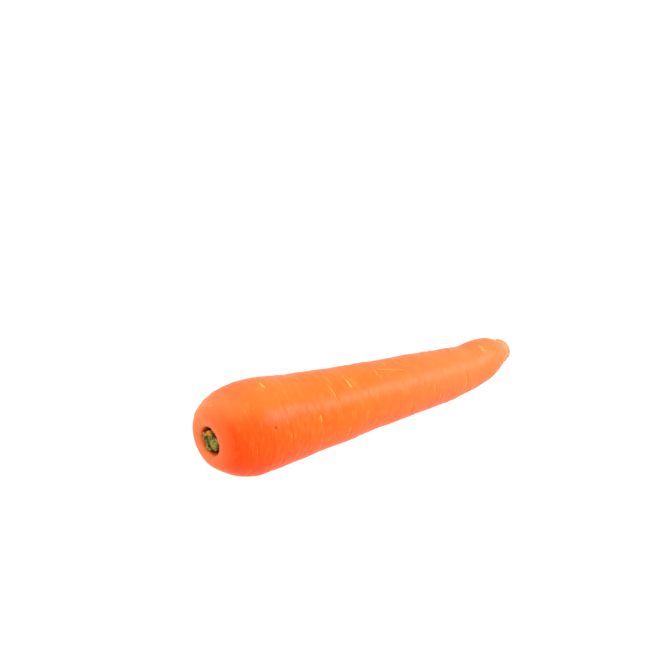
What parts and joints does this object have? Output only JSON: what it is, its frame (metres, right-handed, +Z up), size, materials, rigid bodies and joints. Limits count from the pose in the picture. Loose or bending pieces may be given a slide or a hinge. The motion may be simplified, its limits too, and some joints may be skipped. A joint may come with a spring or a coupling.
{
  "type": "carrot",
  "caption": "Whole carrot with a rounded crown, trimmed leaf stalks in its hollow and a blunt tail, lying on its side.",
  "frame": {"origin": "on the surface that the carrot lies on, under the middle of its length and width", "axes": "+X along the root from the crown to the tail, +Z up from the surface, +Y across"},
  "size_m": [0.1934, 0.0455, 0.0444],
  "materials": {
    "carrot_skin": "moist satin orange skin with pale crosswise root scars",
    "green_stalk": "dull olive green, cut and a little ragged",
    "dried_stalk": "dry ochre, fibrous"
  },
  "bodies": {
    "root": {"taproot": "carrot_skin", "leaf_stalk_stub": "green_stalk", "dried_leaf_stalk": "dried_stalk"}
  },
  "joints": []
}
